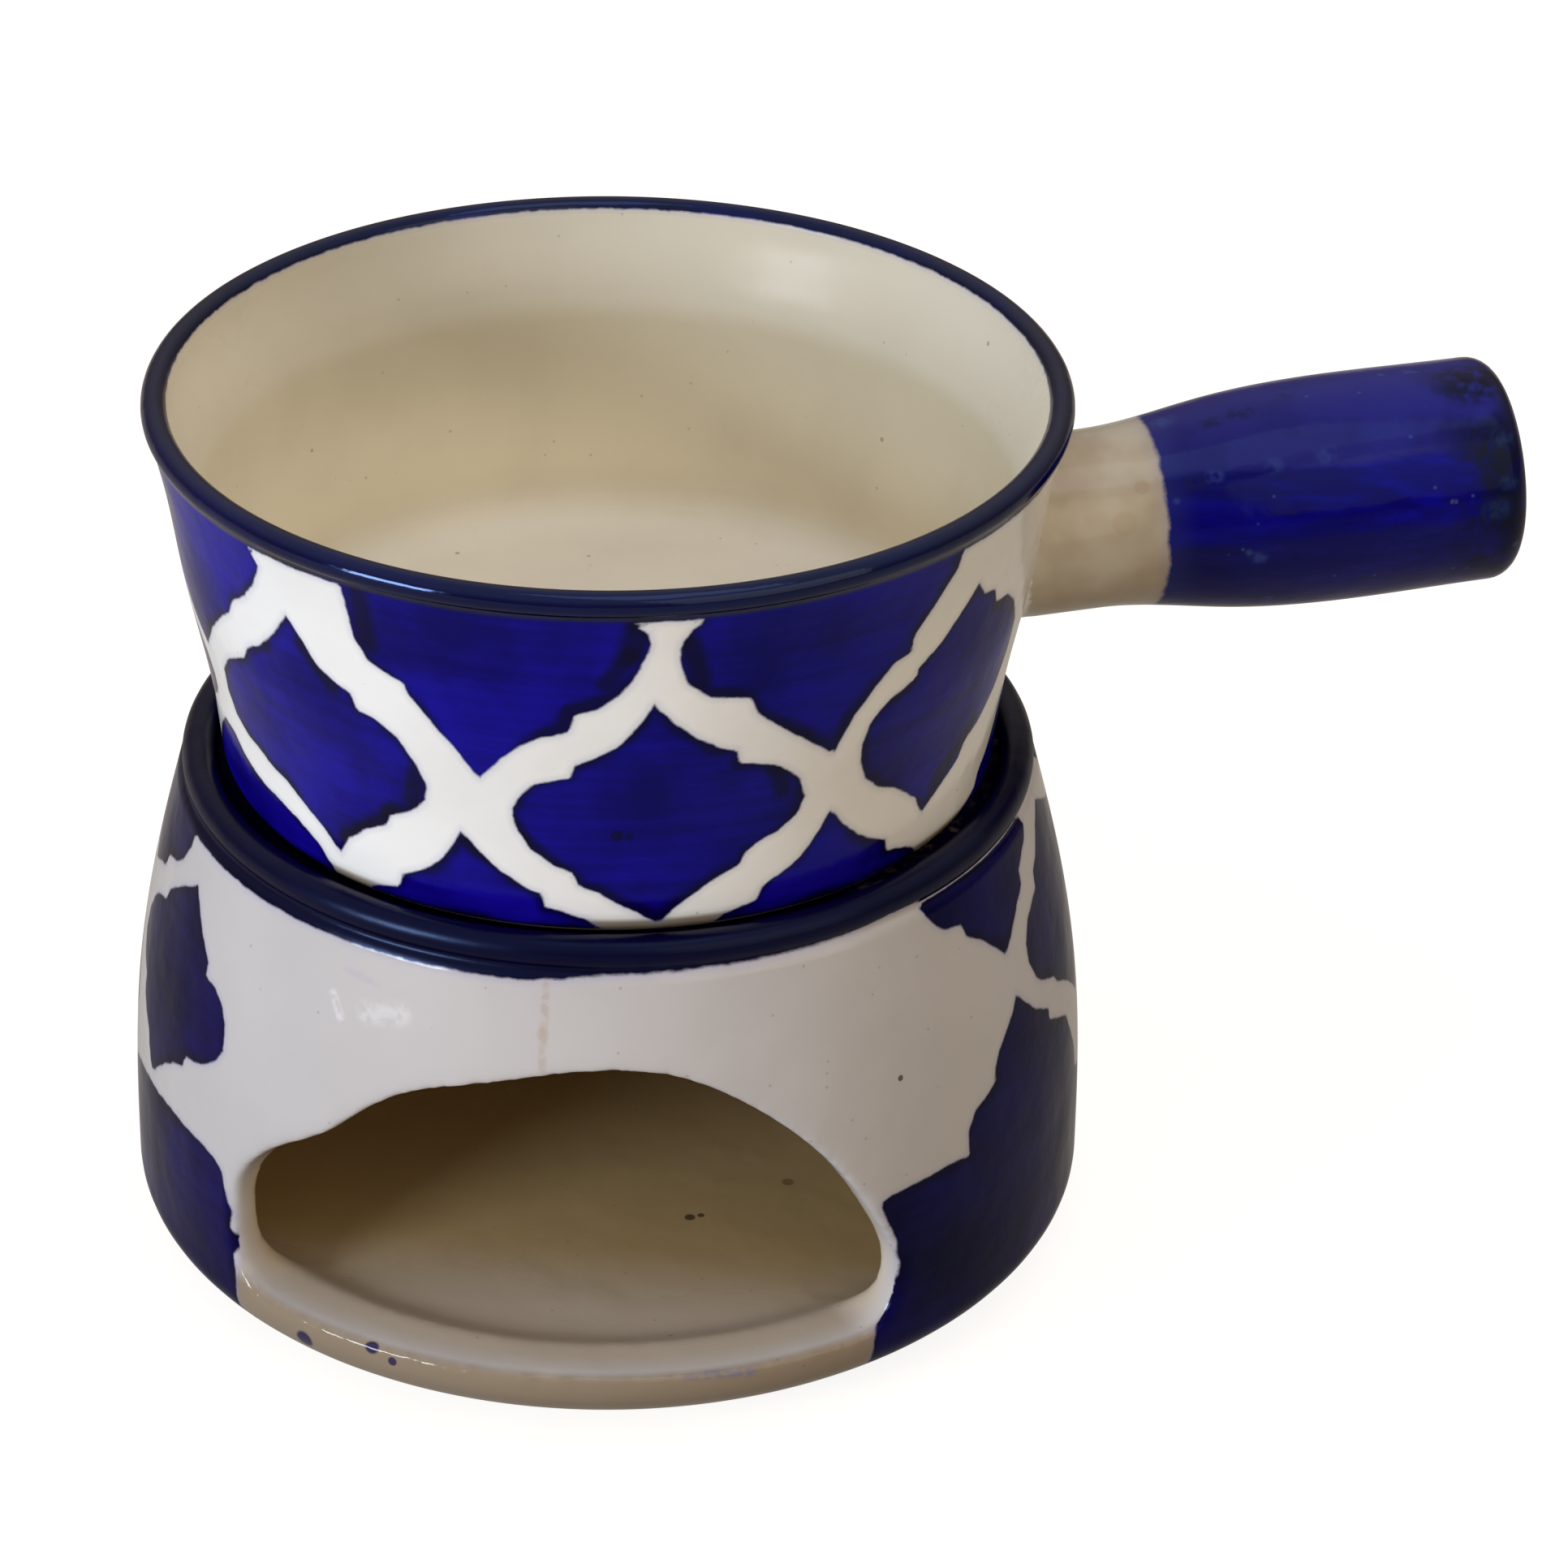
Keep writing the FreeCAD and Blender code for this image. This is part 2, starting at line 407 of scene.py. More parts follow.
def build_stand():
    """The stand: a turned shell with the arch cut through it and the cut's edges eased."""
    stand = placed(spun(stand_section(), pot_steps), "burner_stand_dressed")
    merged(stand, arch_tool(), "DIFFERENCE")
    mesh = bmesh.new()
    mesh.from_mesh(stand.data)
    outline = arch_outline()

    def near_arch(spots):
        """Which spots lie close to the cut's edges."""
        x, y, z = spots.T
        front = (y < -cut_start) & (z > arch_sill - 5.8) & (z < arch_sill + arch_rise + 5)
        found = np.zeros(len(spots), bool)
        plane = np.column_stack((x[front] * arch_plane / -y[front], z[front]))
        found[front] = outline_distance(outline, plane)[0] < 1.9
        return found

    soften(mesh, near_arch, 14)
    mesh.to_mesh(stand.data)
    mesh.free()
    return stand


def build_bowl():
    """The bowl with its handle as one skin, eased round where the neck meets the wall."""
    bowl = placed(spun(bowl_section(), pot_steps), "fondue_bowl_dressed")
    mesh = spun(handle_section(), handle_steps)
    bmesh.ops.transform(mesh, matrix=handle_place, verts=mesh.verts)
    outward = handle_place.to_3x3() @ Vector((0, 0, 1))

    # The handle's root follows the wall's curve and ends a little inside its skin
    for vert in mesh.verts:
        for _ in range(4):
            reach = math.hypot(vert.co.x, vert.co.y) / MM
            if reach < upper[0] + 0.2:
                depth = width_at(bowl_outside, vert.co.z / MM) - 0.5 * bowl_wall
                along = (vert.co - handle_place.translation).dot(outward) / MM
                if along < handle_root + 0.5 or reach < depth:
                    vert.co += outward * (depth - reach) * MM
    merged(bowl, placed(mesh, "handle_tool"), "UNION")
    mesh = bmesh.new()
    mesh.from_mesh(bowl.data)

    def near_root(spots):
        """Which spots lie close to where the neck meets the wall."""
        line, along, _ = handle_spots(spots)
        off_neck = np.abs(line - neck_radius)
        off_wall = np.hypot(spots[:, 0], spots[:, 1]) - width_at(bowl_outside, spots[:, 2])
        return (along > 40) & (off_wall > -1.0) & (np.maximum(off_neck, off_wall) < 3.0)

    soften(mesh, near_root, 16)
    mesh.to_mesh(bowl.data)
    mesh.free()
    return bowl


# Painted outlines, as (degrees round the axis, height in millimetres)

# One trellis cell about its own middle
cell = [
    (-1.0, 15.6), (1.4, 12.9), (4.4, 10.5), (7.4, 8.8), (10.0, 7.9), (10.4, 6.1), (12.8, 5.6), (16.1, 4.7),
    (19.3, 2.2), (20.6, -0.9), (19.7, -3.3), (17.2, -5.1), (14.7, -5.9), (12.6, -7.1), (11.8, -8.8),
    (8.7, -10.2), (5.5, -12.0), (2.4, -14.2), (0.4, -16.0), (-5.0, -13.2), (-8.1, -11.5), (-10.9, -10.5),
    (-11.7, -8.7), (-14.3, -7.8), (-17.3, -5.7), (-19.1, -3.0), (-19.6, -0.5), (-18.5, 1.9), (-16.4, 3.9),
    (-13.9, 4.6), (-11.6, 5.2), (-10.9, 7.1), (-8.0, 8.3), (-5.6, 9.7), (-3.7, 11.6), (-2.4, 13.4),
]

# Degrees between the middles of neighbouring cells on the stand
cell_turn = 42.0

# The bowl's cells beside the middle one
bowl_left_cell = [
    (-126.9, 101.4), (-124.3, 98.4), (-122.6, 96.0), (-119.8, 94.5), (-117.5, 93.7), (-116.9, 91.7),
    (-114.1, 91.2), (-111.2, 89.4), (-109.0, 86.3), (-107.7, 83.3), (-108.3, 80.9), (-110.6, 78.8),
    (-114.2, 77.3), (-115.0, 75.6), (-118.6, 74.1), (-122.3, 71.5), (-124.3, 68.9), (-127.2, 71.4),
    (-131.0, 73.5), (-134.0, 75.2), (-138.6, 76.3), (-140.3, 77.2), (-143.6, 77.9), (-146.8, 79.6),
    (-147.8, 82.4), (-146.9, 85.9), (-143.9, 88.7), (-138.4, 91.1), (-137.1, 93.0), (-133.3, 95.0),
    (-130.0, 97.8),
]
bowl_far_upper = [
    (-131.8, 114.0), (-131.5, 108.8), (-130.3, 106.9), (-132.1, 104.0), (-135.3, 100.7), (-138.8, 98.7),
    (-140.2, 96.5), (-143.8, 94.2), (-147.9, 90.9), (-152.2, 86.9), (-155.4, 89.0), (-160.2, 92.4),
    (-165.5, 96.5), (-169.6, 102.6), (-169.0, 114.0),
]
bowl_far_lower = [
    (-150.0, 75.6), (-146.5, 73.7), (-141.4, 72.3), (-137.1, 71.6), (-132.9, 70.5), (-128.8, 68.8),
    (-126.4, 66.4), (-126.8, 60.0), (-170.0, 60.0), (-167.5, 65.6), (-163.6, 69.2), (-158.2, 73.4),
    (-154.0, 76.0),
]
bowl_upper_left = [
    (-116.4, 114.0), (-116.4, 108.7), (-116.2, 105.9), (-115.8, 101.9), (-114.3, 99.4), (-111.3, 98.0),
    (-109.2, 97.5), (-108.9, 96.1), (-106.6, 93.6), (-103.2, 89.9), (-100.1, 85.8), (-97.5, 88.5),
    (-94.5, 91.2), (-91.7, 92.6), (-89.3, 93.2), (-87.9, 93.9), (-87.3, 96.1), (-84.3, 97.0),
    (-82.0, 98.6), (-80.0, 100.9), (-78.9, 103.4), (-78.0, 105.9), (-78.5, 107.6), (-79.9, 108.6),
    (-80.2, 114.0),
]
bowl_upper_right = [
    (-71.7, 114.0), (-72.0, 108.6), (-73.2, 107.6), (-74.4, 105.7), (-74.5, 103.2), (-73.3, 100.0),
    (-70.4, 97.9), (-65.0, 97.1), (-64.3, 94.9), (-59.9, 91.6), (-55.1, 88.3), (-52.4, 86.4),
    (-49.9, 91.2), (-46.9, 94.5), (-44.3, 96.8), (-41.5, 97.4), (-41.6, 99.5), (-39.4, 101.8),
    (-37.1, 104.6), (-35.7, 106.6), (-34.6, 114.0),
]
bowl_right_cell = [
    (-29.7, 102.2), (-27.4, 99.9), (-24.6, 99.3), (-23.4, 97.2), (-19.8, 96.6), (-16.2, 94.2),
    (-13.4, 90.4), (-13.0, 85.8), (-15.0, 81.6), (-19.2, 78.8), (-23.0, 77.6), (-24.2, 75.6),
    (-28.4, 73.6), (-32.7, 71.2), (-34.6, 74.1), (-40.1, 77.6), (-43.1, 78.6), (-45.9, 80.8),
    (-47.5, 83.8), (-47.8, 86.1), (-47.1, 89.2), (-44.5, 91.6), (-39.9, 93.2), (-39.8, 94.5),
    (-36.1, 96.5), (-32.3, 99.7),
]

# The stand's cells either side of the bare front
stand_left_upper = [
    (-152.8, 68.0), (-152.8, 61.5), (-153.0, 59.6), (-154.8, 57.0), (-156.9, 55.6), (-160.8, 54.6),
    (-161.4, 52.8), (-165.8, 51.2), (-169.4, 49.6), (-173.4, 53.0), (-179.0, 55.9), (-184.4, 58.7),
    (-188.0, 61.8), (-190.0, 68.0),
]
stand_left_cell = [
    (-148.5, 56.8), (-149.8, 55.8), (-151.8, 55.0), (-157.2, 51.9), (-158.0, 50.0), (-160.7, 49.2),
    (-163.5, 47.8), (-165.8, 44.6), (-166.0, 41.5), (-164.0, 38.9), (-161.5, 37.8), (-161.2, 35.6),
    (-159.4, 33.8), (-157.1, 32.2), (-156.7, 30.7), (-155.5, 28.7), (-154.5, 28.1), (-152.5, 29.9),
    (-149.7, 32.1), (-148.1, 32.8), (-147.5, 33.5), (-144.7, 34.5), (-144.4, 36.2), (-142.1, 36.4),
    (-139.6, 37.3), (-137.4, 39.0), (-136.0, 40.9), (-136.4, 44.4), (-137.6, 46.2), (-139.4, 47.5),
    (-142.0, 48.1), (-141.9, 49.8), (-144.6, 52.2), (-146.7, 54.7),
]
stand_left_lower = [
    (-170.6, 18.6), (-167.0, 23.4), (-161.3, 25.4), (-155.9, 26.3), (-147.5, 27.0), (-139.3, 26.8),
    (-136.7, 26.3), (-134.9, 25.4), (-134.3, 23.3), (-133.7, 21.2), (-133.2, 20.1), (-133.4, 17.9),
    (-132.1, 16.3), (-132.8, 14.4), (-132.5, 11.9), (-132.4, 9.2), (-131.6, -2.0), (-178.6, -2.0),
    (-174.8, 4.8), (-170.6, 11.0),
]
stand_far_cell = [
    (-173.4, 42.6), (-170.4, 40.0), (-169.0, 37.0), (-167.4, 34.6), (-166.8, 31.2), (-169.4, 27.2),
    (-173.4, 22.8), (-176.8, 20.6), (-181.4, 23.2), (-186.0, 25.4), (-190.2, 27.6), (-192.8, 29.2),
    (-189.4, 31.4), (-185.4, 33.8), (-180.6, 36.6), (-176.8, 39.2),
]
stand_right_upper = [
    (-38.8, 68.0), (-38.8, 62.4), (-38.3, 61.4), (-36.5, 59.4), (-35.2, 58.6), (-32.3, 58.0),
    (-31.5, 56.3), (-28.4, 54.4), (-26.4, 52.8), (-24.0, 50.6), (-21.3, 52.8), (-18.5, 55.1),
    (-16.4, 56.3), (-16.3, 58.2), (-12.4, 60.3), (-11.5, 61.3), (-10.7, 63.7), (-10.0, 68.0),
]
stand_right_cell = [
    (-3.7, 61.4), (-7.0, 59.4), (-9.6, 56.9), (-12.2, 55.7), (-12.3, 53.7), (-14.7, 53.0), (-16.9, 51.9),
    (-18.7, 49.6), (-18.8, 47.2), (-17.4, 44.2), (-15.9, 43.1), (-11.7, 41.3), (-10.8, 40.2),
    (-6.3, 37.7), (-2.5, 34.8), (0.2, 32.4), (4.5, 36.5), (8.0, 38.5), (11.5, 40.2), (12.5, 42.0),
    (15.0, 43.0), (18.5, 44.3), (20.0, 46.5), (19.5, 49.0), (16.5, 52.0), (12.0, 53.5), (8.0, 54.7),
    (7.0, 56.5), (2.0, 58.5),
]
stand_right_lobe = [
    (-23.2, 45.2), (-24.4, 43.8), (-26.6, 41.9), (-28.9, 40.1), (-30.0, 38.2), (-29.9, 37.0),
    (-31.7, 35.9), (-34.2, 35.1), (-35.6, 33.3), (-35.9, 31.7), (-35.5, 27.0), (-3.0, 22.0),
    (-4.6, 27.7), (-6.3, 30.4), (-8.5, 34.1), (-15.0, 37.4), (-15.0, 38.8), (-18.7, 40.8), (-21.3, 43.1),
]
stand_right_lower = [
    (-35.5, 29.5), (-39.5, 30.0), (-42.9, 29.8), (-46.1, 29.7), (-49.1, 29.5), (-49.8, 28.8),
    (-49.2, 26.8), (-47.5, 22.7), (-47.5, 21.0), (-46.9, 19.6), (-47.1, 17.9), (-47.7, 16.1),
    (-48.1, 14.8), (-49.7, 12.2), (-50.7, 9.8), (-50.9, 6.0), (-51.2, -2.0), (14.0, -2.0), (13.0, 8.0),
    (10.0, 15.0), (3.0, 21.0), (-6.0, 24.5), (-15.9, 27.1), (-25.1, 28.1),
]


def moved_cell(turn, height, width=1.0, rise=1.0):
    """The trellis cell at a place round the pot."""
    return [(turn + width * across, height + rise * up) for across, up in cell]


# The trellis goes on round the back with the one cell moved on, a little wider or mirrored
bowl_cells = [
    moved_cell(-76.4, 82.0), bowl_left_cell, bowl_upper_left, bowl_upper_right, bowl_right_cell,
    bowl_far_upper, bowl_far_lower, moved_cell(-102.4, 62.1), moved_cell(-50.2, 62.4),
    moved_cell(-4.0, 62.4, 0.95), moved_cell(60.0, 82.5, -0.92), moved_cell(102.6, 82.0, 0.9),
    moved_cell(145.4, 82.6, -0.9), moved_cell(-172.6, 82.6, 0.9, 0.96),
    moved_cell(81.4, 103.0, 0.9), moved_cell(124.0, 102.6, -0.9), moved_cell(166.6, 103.2, 0.88),
    moved_cell(38.6, 62.0, 0.9), moved_cell(81.2, 61.8, -0.9), moved_cell(124.2, 62.4, 0.9),
    moved_cell(166.8, 62.2, -0.88),
]
stand_cells = [
    stand_left_upper, stand_left_cell, stand_left_lower, stand_far_cell, stand_right_upper,
    stand_right_cell, stand_right_lobe, stand_right_lower, moved_cell(21.5, 66.6, 0.86, 0.92),
] + [
    moved_cell(18.0 + cell_turn * i, 65.2 - 0.4 * (i % 2), (-1) ** i * 0.86, 0.92) for i in range(1, 4)
] + [
    moved_cell(cell_turn * i, 47.2 + 0.5 * (i % 2), (-1) ** i * 0.87, 0.9) for i in range(1, 5)
] + [
    moved_cell(21.0 + cell_turn * i, 30.2 - 0.4 * (i % 2), (-1) ** i * 0.86, 0.92) for i in range(4)
] + [
    moved_cell(cell_turn * i, 12.8, (-1) ** i * 0.87, 0.92) for i in range(1, 5)
]


def painted(outlines, spots, scale):
    """How deep each spot lies inside the nearest outline, in millimetres, and below 0 outside all."""
    turns = np.degrees(np.arctan2(spots[:, 1], spots[:, 0]))
    depth = np.full(len(spots), unpainted)
    for outline in outlines:
        middle = np.mean(outline, axis=0)
        local = (np.array(outline) - middle) * (scale, 1)
        across = ((turns - middle[0] + 180) % 360 - 180) * scale
        flat = np.column_stack((across, spots[:, 2] - middle[1]))
        close = np.all(np.abs(flat) < np.abs(local).max(0) + 6, axis=1)
        distance, inside = outline_distance(local, flat[close])
        depth[close] = np.maximum(depth[close], np.where(inside, distance, -distance))
    return depth


def keep_values(piece, **fields):
    """Stores one number a vertex under each name, for the materials to read."""
    for name, values in fields.items():
        layer = piece.data.attributes.new(name, "FLOAT", "POINT")
        layer.data.foreach_set("value", np.asarray(values, np.float32))


def piece_spots(piece):
    """Every vertex's place on a finished piece, in millimetres."""
    spots = np.zeros(len(piece.data.vertices) * 3)
    piece.data.vertices.foreach_get("co", spots)
    return spots.reshape(-1, 3) / MM


def paint_bowl(piece):
    """Gives the bowl the painted depth and the other values that its glaze reads."""
    spots = piece_spots(piece)
    x, y, z = spots.T
    radius = np.hypot(x, y)
    skin = width_at(bowl_outside, z)
    line, along, rise = handle_spots(spots)
    on_handle = (along > 50) & (line < 16) & (radius > skin + 0.3)

    # The cells stop above the foot and round the handle's root
    outer = (radius > skin - 1.3) & (z > 64)
    depth = painted(bowl_cells, spots, math.radians(flare[0]))
    depth = np.minimum(depth, z - foot_paint)
    depth = np.minimum(depth, np.where(along > 0, line - neck_clearing, 9.0))
    depth = np.where(outer, depth, unpainted)

    # The lip's band runs over the roll and a little way down inside
    roll_turn = np.arctan2(z - lip_height + lip_roll, radius - lip_radius + lip_roll)
    inward = lip_roll * (math.radians(158) - roll_turn)
    outward = np.where(roll_turn < -1.5, unpainted, z - lip_paint)
    band = np.where(roll_turn > 0.5 * math.pi, inward, outward)
    depth = np.where(z > 107, np.maximum(depth, band), depth)

    # The grip's paint starts a little nearer to the bowl on the underside
    under = np.interp(z, [72, 84, 98], [1.6, 0.2, 0.0])
    depth = np.where(on_handle, 0.55 * (along - grip_paint + under), depth)

    # The inside is creamier, least at the floor, with painted shade at the upper back
    inner = np.clip(skin - radius - 0.6, 0, 1) * np.clip((110 - z) / 12, 0.8, 1)
    inner = np.where(z > seat_height + foot_recess + 1, inner, 0) * np.interp(z, [71.5, 78], [0.5, 1])
    worn = 0.78 * np.clip((z - 80) / 22, 0, 1) * np.clip(0.45 + (0.35 * x + 0.94 * y) / 60, 0, 1)
    # Tan painted shade on the bowl's foot, in the gap above the stand's rim
    bare = np.clip((67.0 - z) / 0.8, 0, 1)
    keep_values(
        piece, paint=depth, inside=inner, worn=worn, on_handle=on_handle, rise=rise, along=along,
        bare=bare, band=np.where(on_handle, -9.0, band))


def paint_stand(piece):
    """Gives the stand the painted depth and the other values that its glaze reads."""
    spots = piece_spots(piece)
    x, y, z = spots.T
    radius = np.hypot(x, y)
    turns = np.degrees(np.arctan2(y, x))
    skin = width_at(base_line[:-1] + stand_outside, z)
    depth = painted(stand_cells, spots, math.radians(shoulder[0]))
    depth = np.minimum(depth, 3 * (radius - skin + 0.9))
    depth = np.where(z > 0.6, depth, unpainted)

    # The rim's band has a lower edge that wanders, and reaches over the ledge
    edge = np.interp(turns, [-135, -94, -84, -51, -44], [61.4, 61.5, 62.3, 62.7, 63.4])
    band = np.minimum(z - edge, radius - rim_paint_reach)
    depth = np.where(z > 59, np.maximum(depth, band), depth)

    # The chamber is creamier, browner further in from the arch as painted shade, and the base and the sill
    # get a tan painted shade
    inner = np.clip((skin - radius - 1.0) / 3.5, 0, 1) * np.clip((y + 54) / 26, 0.45, 1)
    inner = np.where(z > 5, inner, 0)
    under_arch = np.abs(turns + 90) < arch_half_angle
    bare = np.where(under_arch, np.clip((14.0 - z) / 3.0, 0, 1), np.clip((12.5 - z) / 5.5, 0, 1))
    bare = bare * np.clip((radius - skin + 1.6) / 1.2, 0, 1)
    # Painted shade near the chamber's floor
    worn = np.clip((17.0 - z) / 6.0, 0, 1)
    keep_values(
        piece, paint=depth, inside=inner, worn=worn, on_handle=np.zeros(len(z)), band=band, bare=bare)


stand = build_stand()
bowl = build_bowl()
paint_stand(stand)
paint_bowl(bowl)
for piece, node in ((stand, "burner_stand"), (bowl, "fondue_bowl")):
    for face in piece.data.polygons:
        face.use_smooth = True
    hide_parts(node)
    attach(piece, "root")


# Materials

def tint(red, green, blue):
    """A colour from screen values up to 255."""
    share = np.array([red, green, blue]) / 255
    light = np.where(share <= 0.04045, share / 12.92, ((share + 0.055) / 1.055) ** 2.4)
    return (*light, 1.0)


def deeper(colour, share):
    """A colour brought down to a share of its light."""
    return (*(share * v for v in colour[:3]), 1.0)


# Colours that both pots share
# Painted shade on the handle's white neck, in lighter and darker patches
neck_shade_light = tint(202, 194, 182)
neck_shade_dark = tint(182, 167, 148)
# Tan painted shade towards the feet of the pots
foot_shade_colour = tint(132, 114, 92)
clay_speck = tint(88, 66, 44)
paint_bleed = tint(120, 124, 196)
pooled_cobalt = tint(8, 2, 34)
stroke_cobalt = tint(9, 4, 30)
band_cobalt = tint(3, 1, 31)

# Colours of the grip
# The first pair is a painted sheen along the grip's top
grip_sheen = (tint(38, 37, 132), tint(28, 24, 106))
grip_under = (tint(18, 14, 92), tint(24, 20, 108))
grip_stroke = (tint(7, 0, 108), tint(11, 3, 146))
grip_patch = tint(12, 11, 30)
grip_tip = tint(12, 12, 36)
grip_fleck = tint(70, 100, 150)
grip_start = tint(50, 56, 132)


class Recipe:
    """The nodes of one material or world, laid down one after another."""

    def __init__(self, owner, main="Principled BSDF"):
        owner.use_nodes = True
        self.owner = owner
        self.tree = owner.node_tree
        self.nodes = self.tree.nodes
        self.main = self.nodes[main].inputs

    def feed(self, socket, value):
        """Links a socket to an output, or sets it to a plain value."""
        if isinstance(value, bpy.types.NodeSocket):
            self.tree.links.new(value, socket)
        else:
            socket.default_value = value

    def add(self, kind, values, **settings):
        """A new node with its settings and its inputs."""
        node = self.nodes.new("ShaderNode" + kind)
        for name, setting in settings.items():
            setattr(node, name, setting)
        for place, value in values.items():
            self.feed(node.inputs[place], value)
        return node

    def attribute(self, name):
        """A value that is kept on the piece's vertices."""
        return self.add("Attribute", {}, attribute_name=name).outputs["Fac"]

    def maths(self, operation, *values):
        return self.add("Math", dict(enumerate(values)), operation=operation).outputs[0]

    def times(self, first, second):
        return self.maths("MULTIPLY", first, second)

    def plus(self, first, second):
        return self.maths("ADD", first, second)

    def swing(self, value, size):
        """A value from 0 to 1 as one about 0, of the given size."""
        return self.times(self.maths("SUBTRACT", value, 0.5), size)

    def noise(self, where, scale, detail=3.0, rough=0.5):
        """Slow uneven values about a half."""
        values = {"Vector": where, "Scale": scale, "Detail": detail, "Roughness": rough}
        return self.add("TexNoise", values).outputs["Fac"]

    def stretched(self, where, scale, turn=0.0):
        """Places turned about Z and scaled along each axis."""
        values = {"Vector": where, "Rotation": (0, 0, math.radians(turn)), "Scale": scale}
        return self.add("Mapping", values).outputs[0]

    def rise(self, value, low, high):
        """0 below the low value, 1 above the high one, and smooth between."""
        values = {"Value": value, "From Min": low, "From Max": high}
        return self.add("MapRange", values, interpolation_type="SMOOTHSTEP").outputs[0]

    def mix(self, share, first, second):
        """A colour between two others."""
        values = {0: share, 6: first, 7: second}
        return self.add("Mix", values, data_type="RGBA").outputs[2]

    def between(self, share, first, second):
        """A number between two others."""
        values = {0: share, 2: first, 3: second}
        return self.add("Mix", values, data_type="FLOAT").outputs[0]

    def specks(self, where, scale, rarity, wide, narrow):
        """Scattered round specks, 1 in their middles."""
        cells = self.add("TexVoronoi", {"Vector": where, "Scale": scale}, feature="F1")
        number = self.add("SeparateColor", {0: cells.outputs["Color"]}).outputs[0]
        rare = self.maths("GREATER_THAN", number, rarity)
        return self.times(rare, self.rise(cells.outputs["Distance"], wide, narrow))

    def spot(self, where, place, size):
        """A round mark about a place, 1 in its middle."""
        there = tuple(v * MM for v in place)
        away = self.add("VectorMath", {0: where, 1: there}, operation="DISTANCE").outputs["Value"]
        return self.rise(away, size * 1.15 * MM, size * 0.75 * MM)

    def streak(self, where, start, end, size):
        """A soft stroke between two places, 1 along its middle."""
        first = Vector(start) * MM
        run = Vector(end) * MM - first
        off = self.add("VectorMath", {0: where, 1: tuple(first)}, operation="SUBTRACT").outputs[0]
        share = self.add("VectorMath", {0: off, 1: tuple(run / run.length_squared)}, operation="DOT_PRODUCT")
        held = self.add("Clamp", {"Value": share.outputs["Value"]}).outputs[0]
        near = self.add("VectorMath", {0: tuple(run), "Scale": held}, operation="SCALE").outputs[0]
        away = self.add("VectorMath", {0: off, 1: near}, operation="DISTANCE").outputs["Value"]
        return self.rise(away, size * 1.3 * MM, size * 0.3 * MM)


def white_glaze(make, where, outside_tint, inside_tint):
    """White glaze in faint clouds, creamier inside, with painted shade inside, on the neck and towards the
    foot, and specks of the clay.
    """
    cloud = make.rise(make.noise(where, 45.0, 4.0), 0.35, 0.7)
    white = make.mix(cloud, outside_tint, deeper(outside_tint, 0.95))
    cream = make.mix(cloud, inside_tint, deeper(inside_tint, 0.9))
    # Painted shade darkens the cream inside, at the bowl's upper back and near the chamber's floor
    cream = make.mix(make.attribute("worn"), cream, deeper(inside_tint, 0.5))
    white = make.mix(make.attribute("inside"), white, cream)
    # The neck's white is painted shade, in uneven patches
    neck_shade_patches = make.rise(make.noise(where, 90.0, 3.0), 0.35, 0.7)
    neck = make.mix(neck_shade_patches, neck_shade_light, neck_shade_dark)
    white = make.mix(make.attribute("on_handle"), white, neck)
    # Tan painted shade towards the foot
    white = make.mix(make.times(make.attribute("bare"), 0.9), white, foot_shade_colour)
    for scale, rarity, size, strength in ((300.0, 0.965, 0.07, 0.45), (640.0, 0.93, 0.10, 0.25)):
        grain = make.specks(where, scale, rarity, size * 1.6, size)
        white = make.mix(make.times(grain, strength), white, clay_speck)
    return white


def brushwork(make, where, depth, streaks, washes, brushed, strokes):
    """Cobalt in streaks and washes, pooled dark along its edges and in single strokes."""
    load = make.plus(make.times(streaks, 0.42), make.times(washes, 0.8))
    cobalt = make.mix(make.rise(load, 0.42, 0.82), *brushed)
    uneven = make.swing(make.noise(where, 110.0, 2.0), 5.0)
    pooled = make.rise(make.plus(depth, uneven), 1.6, 0.0)
    cobalt = make.mix(make.times(pooled, 0.85), cobalt, pooled_cobalt)
    for start, end, size in strokes:
        stroke = make.times(make.streak(where, start, end, size), 0.8)
        cobalt = make.mix(stroke, cobalt, stroke_cobalt)
    return cobalt


def painted_grip(make, where, streaks, long_streaks, washes):
    """The grip: a painted sheen above and a thin wash below a deep stroke, near black at the end."""
    along = make.attribute("along")
    rise = make.plus(make.attribute("rise"), make.swing(long_streaks, 2.6))
    above = make.rise(rise, 8.2, 9.5)
    below = make.rise(rise, 1.6, -0.2)
    loaded = make.rise(streaks, 0.4, 0.65)
    # Painted sheen along the grip's top
    top_sheen = make.mix(make.rise(washes, 0.4, 0.65), *grip_sheen)
    under_wash = make.mix(loaded, *grip_under)
    stroke = make.mix(loaded, *grip_stroke)
    grip = make.mix(above, make.mix(below, stroke, under_wash), top_sheen)

    # Dark patches towards the blunt end, and a darker tip
    patches = make.rise(make.noise(where, 210.0, 3.0), 0.42, 0.64)
    patches = make.times(patches, make.rise(along, 98.0, 108.0))
    grip = make.mix(make.times(patches, 0.8), grip, grip_patch)
    tip = make.rise(make.plus(along, make.times(washes, 16.0)), 114.5, 119.5)
    grip = make.mix(make.times(tip, 0.8), grip, grip_tip)

    # Pale flecks, and thinner paint at the start
    for scale, rarity, size in ((340.0, 0.9, 0.24), (620.0, 0.88, 0.22)):
        fleck = make.specks(where, scale, rarity, size, 0.05)
        grip = make.mix(make.times(fleck, 0.42), grip, grip_fleck)
    start = make.rise(along, 71.5, grip_paint - 0.2)
    return make.mix(make.times(start, 0.35), grip, grip_start)


